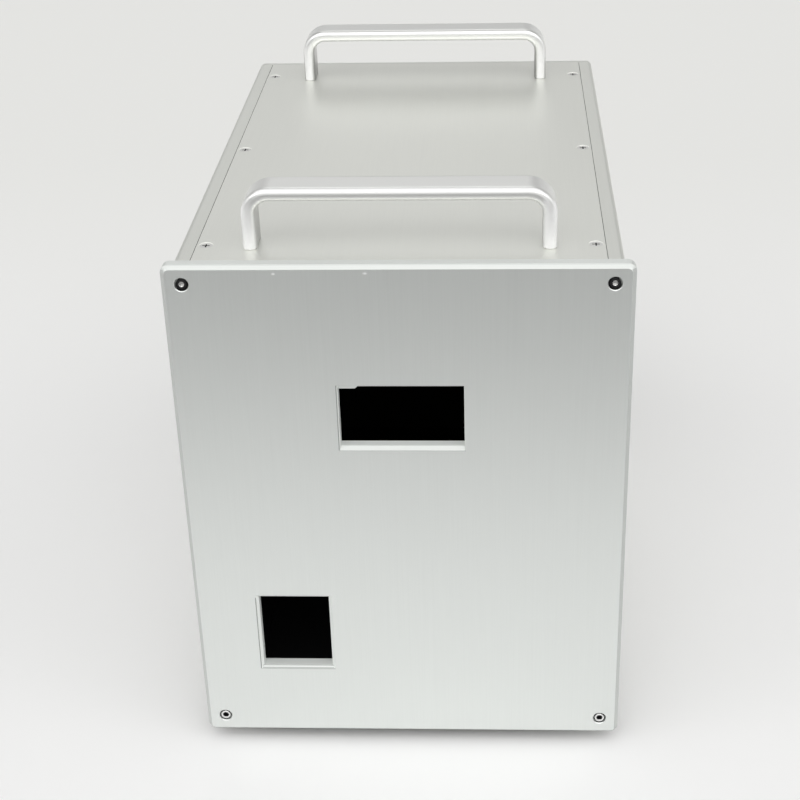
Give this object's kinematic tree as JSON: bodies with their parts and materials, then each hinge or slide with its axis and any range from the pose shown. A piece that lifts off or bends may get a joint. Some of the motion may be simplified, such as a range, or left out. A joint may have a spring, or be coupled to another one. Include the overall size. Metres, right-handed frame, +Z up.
{
  "type": "electronics chassis",
  "caption": "Upright anodised aluminium electronics chassis with a thick bevelled front panel, rectangular instrument openings, flush screwed covers, bow handles on top and low rubber feet.",
  "frame": {"origin": "middle of the footprint, on the surface that the feet stand on", "axes": "+X to the right seen from the front, +Y from the front panel to the rear panel, +Z up"},
  "size_m": [0.28, 0.41, 0.394],
  "materials": {
    "anodised_panel": "fine vertical brushing, clear anodised, satin",
    "anodised_case": "brushed front to back, clear anodised, satin",
    "anodised_handle": "smooth satin, clear anodised",
    "bright_steel": "bright plated",
    "foot_rubber": "matt black"
  },
  "bodies": {
    "root": {"front_panel": "anodised_panel", "front_panel_screws": "bright_steel", "left_side_panel": "anodised_case", "right_side_panel": "anodised_case", "rear_panel": "anodised_case", "rear_panel_screws": "bright_steel", "top_cover": "anodised_case", "top_cover_screws": "bright_steel", "bottom_cover": "anodised_case", "bottom_cover_screws": "bright_steel", "front_handle": "anodised_handle", "rear_handle": "anodised_handle", "handle_screws": "bright_steel", "handle_washers": "bright_steel", "front_left_foot": "foot_rubber", "front_right_foot": "foot_rubber", "rear_left_foot": "foot_rubber", "rear_right_foot": "foot_rubber", "foot_screws": "bright_steel", "foot_nuts": "bright_steel"}
  },
  "joints": []
}
